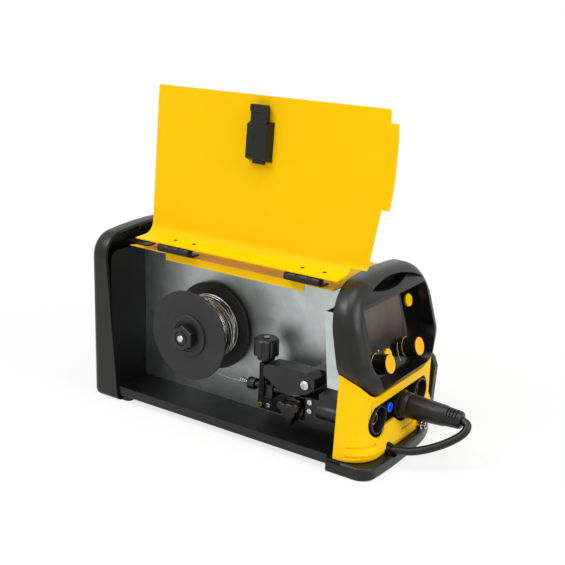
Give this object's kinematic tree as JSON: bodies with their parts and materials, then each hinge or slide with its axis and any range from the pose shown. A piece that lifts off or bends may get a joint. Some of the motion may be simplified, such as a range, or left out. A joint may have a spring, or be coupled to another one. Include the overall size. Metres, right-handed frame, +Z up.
{
  "type": "mig welder",
  "caption": "Compact wire-feed welder with its side door swung open, showing the wire spool and the roller feeder beside a leaning control end with knobs, display, sockets and a polarity plug.",
  "frame": {"origin": "on the ground, under the middle of the machine's length and width, the plug and its cable left out", "axes": "+X towards the control end, -Y towards the open wire compartment, +Z up"},
  "size_m": [0.4483, 0.177, 0.3555],
  "materials": {
    "yellow_paint": "satin powder coat",
    "yellow_plastic": "moulded satin plastic",
    "black_plastic": "moulded matte plastic",
    "black_paint": "fine textured powder coat",
    "galvanised_steel": "galvanised sheet",
    "bright_steel": "bright zinc plated",
    "brass": "turned brass",
    "blue_plastic": "gloss moulded plastic",
    "rubber": "matte rubber",
    "spool_plastic": "moulded plastic",
    "welding_wire": "drawn steel wire",
    "display_glass": "dark gloss cover",
    "board": "coated circuit board",
    "aluminium": "extruded",
    "chrome": "chromed",
    "nickel": "hardened tool steel"
  },
  "bodies": {
    "machine": {"chassis": "black_paint", "rear_cover": "black_plastic", "partition_plate": "galvanised_steel", "main_cover": "yellow_paint", "front_frame": "black_plastic", "lower_panel": "yellow_plastic", "front_bumper": "black_plastic", "control_bracket": "galvanised_steel", "control_fascia": "black_plastic", "display_window": "display_glass", "control_board": "board", "socket_plate": "black_plastic", "front_sockets": "black_plastic", "socket_contacts": "brass", "gas_fitting": "blue_plastic", "remote_socket": "chrome", "polarity_plug": "rubber", "plug_pin": "brass", "polarity_cable": "rubber", "cable_grommet": "rubber", "hinge_base_leaves": "black_paint", "hinge_pins": "bright_steel", "spool_spindle": "black_plastic", "spindle_bolt": "bright_steel", "feeder_base": "black_plastic", "inlet_guide": "black_plastic", "outlet_adaptor": "black_plastic", "feeder_screws": "bright_steel", "arm_pivot_pin": "bright_steel", "feed_motor": "bright_steel", "welding_wire": "welding_wire", "main_board": "board", "heat_sink": "aluminium", "transformer": "black_plastic", "fan_frame": "black_plastic", "switch_frame": "black_plastic", "mains_gland": "black_plastic", "gas_inlet": "brass"},
    "door": {"door_panel": "yellow_paint", "hinge_door_leaves": "black_paint", "latch_case": "black_plastic"},
    "latch": {"latch_tongue": "black_plastic"},
    "spool": {"wire_spool": "spool_plastic", "wire_winding": "welding_wire"},
    "spool_nut": {"hub_nut": "black_plastic"},
    "drive": {"drive_roll": "nickel", "drive_shaft": "bright_steel", "roll_knob": "black_plastic"},
    "arm": {"pressure_arm": "black_plastic"},
    "idler": {"idler_roll": "nickel"},
    "tension": {"tension_rod": "bright_steel"},
    "tension_grip": {"tension_knob": "black_plastic"},
    "left_control": {"left_knob": "black_plastic", "left_knob_cap": "yellow_plastic"},
    "right_control": {"right_knob": "black_plastic", "right_knob_cap": "yellow_plastic"},
    "power_press": {"power_button": "yellow_plastic"},
    "mode_press": {"mode_button": "yellow_plastic"},
    "fan": {"fan_rotor": "black_plastic"},
    "mains_rocker": {"rocker": "black_plastic"}
  },
  "joints": [
    {"name": "door_hinge", "type": "hinge", "parent": "machine", "child": "door", "pos_m": [0.01025, -0.0627, 0.1852], "axis": [1, 0, 0], "range_deg": [0, 184.4]},
    {"name": "latch_slide", "type": "slide", "parent": "door", "child": "latch", "axis": [0, -0.0767, -0.9971], "range_m": [0, 0.006], "stiffness_N_per_m": 150, "springref_m": -0.002},
    {"name": "spool_spin", "type": "hinge", "parent": "machine", "child": "spool", "pos_m": [-0.04975, -0.0475, 0.095], "axis": [0, 1, 0], "continuous": true},
    {"name": "hub_nut_turn", "type": "hinge", "parent": "machine", "child": "spool_nut", "pos_m": [-0.04975, -0.077, 0.095], "axis": [0, 1, 0], "continuous": true},
    {"name": "feed_drive", "type": "hinge", "parent": "machine", "child": "drive", "pos_m": [0.07625, -0.0455, 0.0362], "axis": [0, 1, 0], "continuous": true},
    {"name": "tension_swing", "type": "hinge", "parent": "machine", "child": "tension", "pos_m": [0.03725, -0.0455, 0.045], "axis": [0, 1, 0], "range_deg": [-26, 0]},
    {"name": "arm_lift", "type": "hinge", "parent": "machine", "child": "arm", "pos_m": [0.09425, -0.0455, 0.07], "axis": [0, 1, 0], "range_deg": [0, 15.6]},
    {"name": "idler_turn", "type": "hinge", "parent": "arm", "child": "idler", "pos_m": [0.07625, -0.0455, 0.0638], "axis": [0, 1, 0], "continuous": true},
    {"name": "tension_knob_turn", "type": "hinge", "parent": "tension", "child": "tension_grip", "pos_m": [0.03725, -0.0455, 0.095], "axis": [0, 0, 1], "continuous": true},
    {"name": "left_knob_turn", "type": "hinge", "parent": "machine", "child": "left_control", "pos_m": [0.17089, -0.0325, 0.10488], "axis": [0.9578, 0, 0.2874], "range_deg": [-150, 150]},
    {"name": "right_knob_turn", "type": "hinge", "parent": "machine", "child": "right_control", "pos_m": [0.17089, 0.0325, 0.10488], "axis": [0.9578, 0, 0.2874], "range_deg": [-150, 150]},
    {"name": "power_button_press", "type": "slide", "parent": "machine", "child": "power_press", "axis": [-0.9578, 0, -0.2874], "range_m": [0, 0.0012], "stiffness_N_per_m": 400, "springref_m": -0.0005},
    {"name": "mode_button_press", "type": "slide", "parent": "machine", "child": "mode_press", "axis": [-0.9578, 0, -0.2874], "range_m": [0, 0.0012], "stiffness_N_per_m": 400, "springref_m": -0.0005},
    {"name": "fan_spin", "type": "hinge", "parent": "machine", "child": "fan", "pos_m": [-0.14275, 0.032, 0.078], "axis": [1, 0, 0], "continuous": true},
    {"name": "mains_rocker_tilt", "type": "hinge", "parent": "machine", "child": "mains_rocker", "pos_m": [-0.17425, 0.046, 0.152], "axis": [0, -1, 0], "range_deg": [0, 14]}
  ],
  "couplings": [
    {"joint": "idler_turn", "follows": "feed_drive", "ratio": -1},
    {"joint": "arm_lift", "follows": "tension_swing", "ratio": -0.6}
  ]
}
